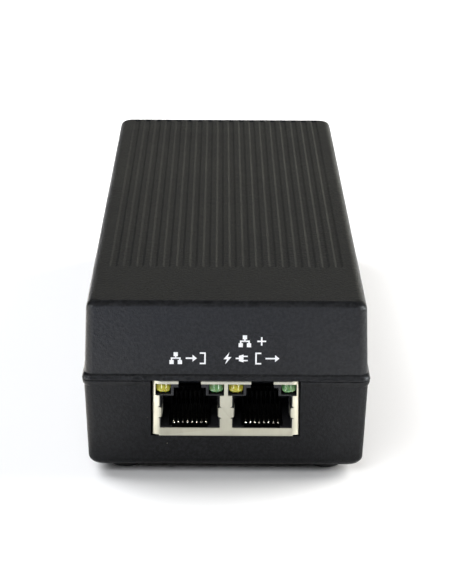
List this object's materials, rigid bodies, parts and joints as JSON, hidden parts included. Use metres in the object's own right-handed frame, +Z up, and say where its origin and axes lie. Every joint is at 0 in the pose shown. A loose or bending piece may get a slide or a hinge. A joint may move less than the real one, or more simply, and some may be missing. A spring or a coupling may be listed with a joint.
{
  "type": "poe injector",
  "caption": "Long desktop power-over-Ethernet injector: grooved moulded case on rubber feet, shielded network ports in the front end, a mains inlet behind and the power supply inside.",
  "frame": {"origin": "on the surface the feet stand on, under the middle of the case", "axes": "+X right when facing the ports, +Y from the ports towards the mains inlet, +Z up"},
  "size_m": [0.0624, 0.157, 0.0405],
  "materials": {
    "case_black": "fine moulded texture, satin",
    "foot_rubber": "matt",
    "screw_steel": "zinc plated",
    "board_green": "solder mask over glass laminate",
    "insulation_film": "thin film",
    "shield_tin": "tin plated sheet",
    "jack_black": "moulded",
    "contact_gold": "gold plated wire",
    "led_yellow": "moulded lens",
    "led_green": "moulded lens",
    "marking_white": "pad printed ink",
    "inlet_black": "moulded",
    "blade_nickel": "nickel plated",
    "component_black": "moulded epoxy",
    "disc_blue": "dipped coating",
    "film_capacitor_yellow": "moulded box",
    "capacitor_sleeve": "shrink sleeve over an aluminium can",
    "choke_copper": "enamelled copper wire on a ferrite ring",
    "heatsink_aluminium": "mill finish",
    "ferrite_grey": "ground ferrite",
    "winding_tape": "polyester tape"
  },
  "bodies": {
    "case": {"top_cover": "case_black", "bottom_case": "case_black", "foot_front_left": "foot_rubber", "foot_front_right": "foot_rubber", "foot_rear_left": "foot_rubber", "foot_rear_right": "foot_rubber", "screw_front_left": "screw_steel", "screw_front_right": "screw_steel", "screw_rear_left": "screw_steel", "screw_rear_right": "screw_steel", "main_board": "board_green", "insulation_sheet": "insulation_film", "jack_shield": "shield_tin", "jack_housing": "jack_black", "link_led_1": "led_yellow", "activity_led_1": "led_green", "link_led_2": "led_yellow", "activity_led_2": "led_green", "contact_insert_1": "jack_black", "contact_insert_2": "jack_black", "inlet_housing": "inlet_black", "inlet_pin_neutral": "blade_nickel", "inlet_pin_earth": "blade_nickel", "inlet_pin_line": "blade_nickel", "fuse": "component_black", "varistor": "disc_blue", "x_capacitor": "film_capacitor_yellow", "common_mode_choke": "choke_copper", "bridge_rectifier": "component_black", "bulk_capacitor": "capacitor_sleeve", "power_transistor": "component_black", "primary_heatsink": "heatsink_aluminium", "transformer_core": "ferrite_grey", "transformer_winding": "winding_tape", "output_rectifier": "component_black", "output_heatsink": "heatsink_aluminium", "output_capacitor_1": "capacitor_sleeve", "output_capacitor_2": "capacitor_sleeve", "y_capacitor": "disc_blue", "optocoupler": "component_black", "lan_magnetics_1": "component_black", "lan_magnetics_2": "component_black", "power_controller": "component_black"},
    "port_1_contacts": {"port_1_contact_1": "contact_gold", "port_1_contact_2": "contact_gold", "port_1_contact_3": "contact_gold", "port_1_contact_4": "contact_gold", "port_1_contact_5": "contact_gold", "port_1_contact_6": "contact_gold", "port_1_contact_7": "contact_gold", "port_1_contact_8": "contact_gold"},
    "port_2_contacts": {"port_2_contact_1": "contact_gold", "port_2_contact_2": "contact_gold", "port_2_contact_3": "contact_gold", "port_2_contact_4": "contact_gold", "port_2_contact_5": "contact_gold", "port_2_contact_6": "contact_gold", "port_2_contact_7": "contact_gold", "port_2_contact_8": "contact_gold"}
  },
  "joints": [
    {"name": "port_1_contacts_press", "type": "hinge", "parent": "case", "child": "port_1_contacts", "pos_m": [-0.00784, -0.0754, 0.0119], "axis": [-1, 0, 0], "range_deg": [0, 8], "stiffness_Nm_per_rad": 0.3},
    {"name": "port_2_contacts_press", "type": "hinge", "parent": "case", "child": "port_2_contacts", "pos_m": [0.00784, -0.0754, 0.0119], "axis": [-1, 0, 0], "range_deg": [0, 8], "stiffness_Nm_per_rad": 0.3}
  ]
}
